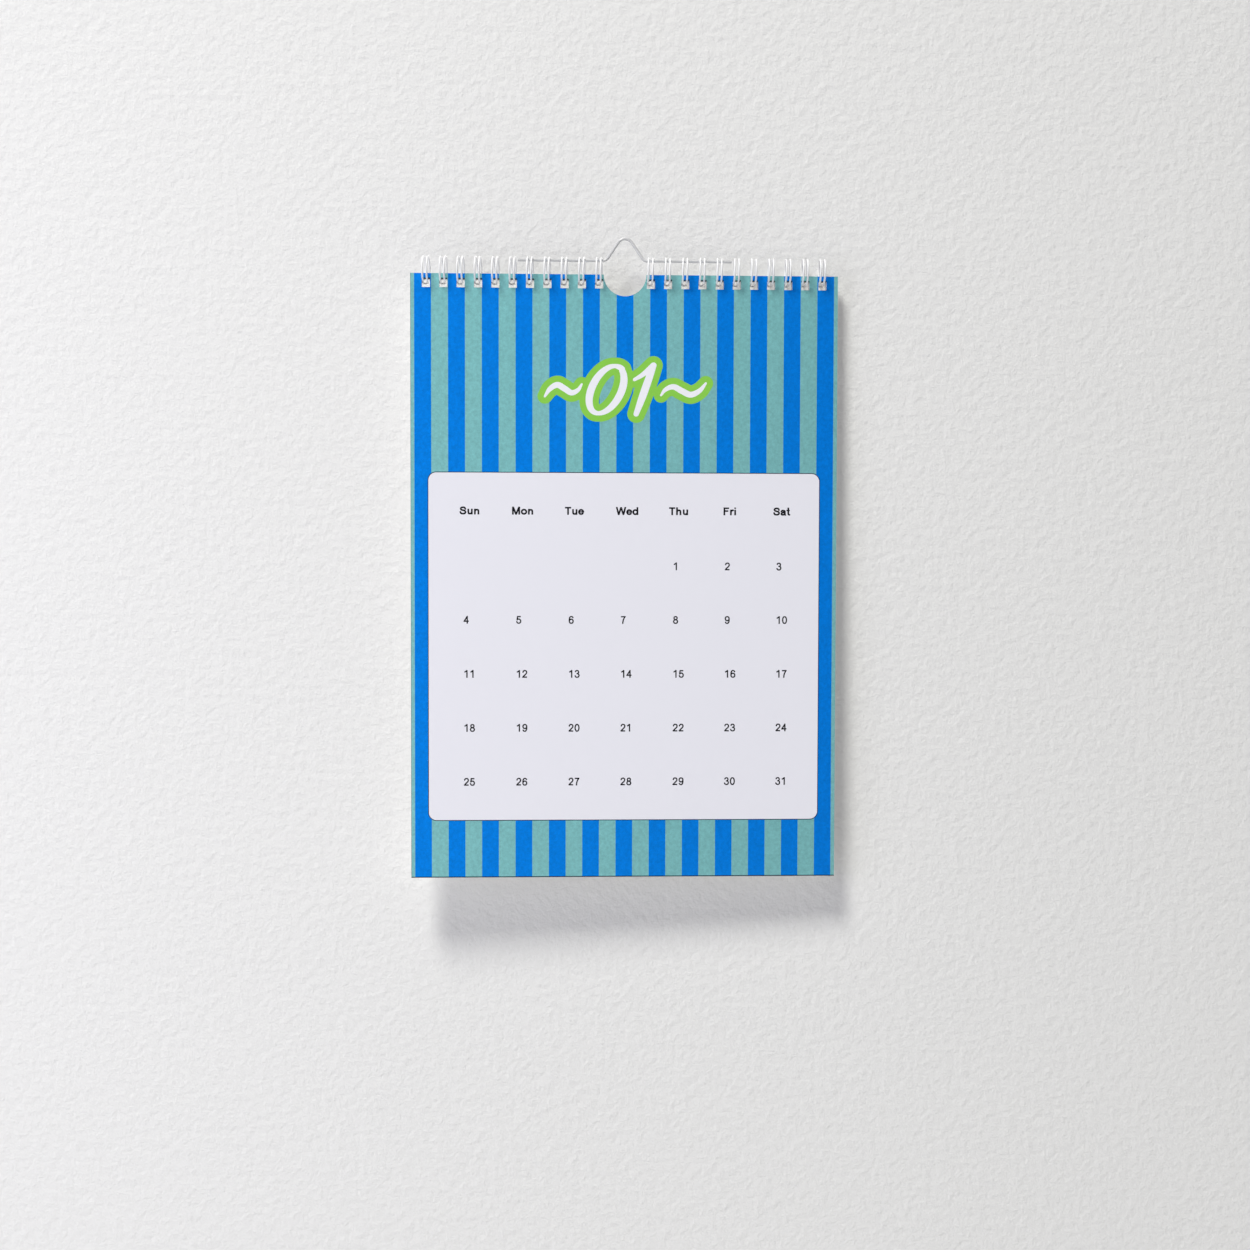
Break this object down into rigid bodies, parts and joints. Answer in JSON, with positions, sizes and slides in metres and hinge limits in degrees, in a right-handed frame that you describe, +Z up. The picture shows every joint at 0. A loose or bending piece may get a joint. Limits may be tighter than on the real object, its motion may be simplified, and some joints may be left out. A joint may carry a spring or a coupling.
{
  "type": "wall calendar",
  "caption": "Wire-bound portrait wall calendar with striped month leaves, a rounded date panel, a thumb cut, a backing board and a hanger wire with a raised eye.",
  "frame": {"origin": "underside of the hanger's eye, on the calendar's centreline, where it bears on a nail or screw", "axes": "+X to the reader's right, +Y away from the reader towards the wall, +Z up"},
  "size_m": [0.21, 0.0126, 0.3154],
  "materials": {
    "hanger_wire": "white coated steel wire, satin",
    "binding_wire": "white nylon-coated steel wire, satin",
    "printed_paper": "coated paper printed with blue and teal stripes, silk",
    "leaf_paper": "coated paper, silk, white cut edges",
    "board": "white lined board, matte"
  },
  "bodies": {
    "hanger": {"hanger": "hanger_wire"},
    "binding": {"binding_wire_left": "binding_wire", "binding_wire_right": "binding_wire", "backing_board": "board"},
    "later_leaves": {"month_leaves": "leaf_paper"},
    "first_leaf": {"front_leaf": "printed_paper"}
  },
  "joints": [
    {"name": "hanger_turn", "type": "hinge", "parent": "hanger", "child": "binding", "pos_m": [0, 0, -0.01], "axis": [-1, 0, 0], "range_deg": [-180, 180]},
    {"name": "later_leaves_turn", "type": "hinge", "parent": "binding", "child": "later_leaves", "pos_m": [0, 0, -0.0146], "axis": [-1, 0, 0], "range_deg": [0, 145]},
    {"name": "first_leaf_turn", "type": "hinge", "parent": "later_leaves", "child": "first_leaf", "pos_m": [0, 0, -0.0146], "axis": [-1, 0, 0], "range_deg": [0, 145]}
  ]
}
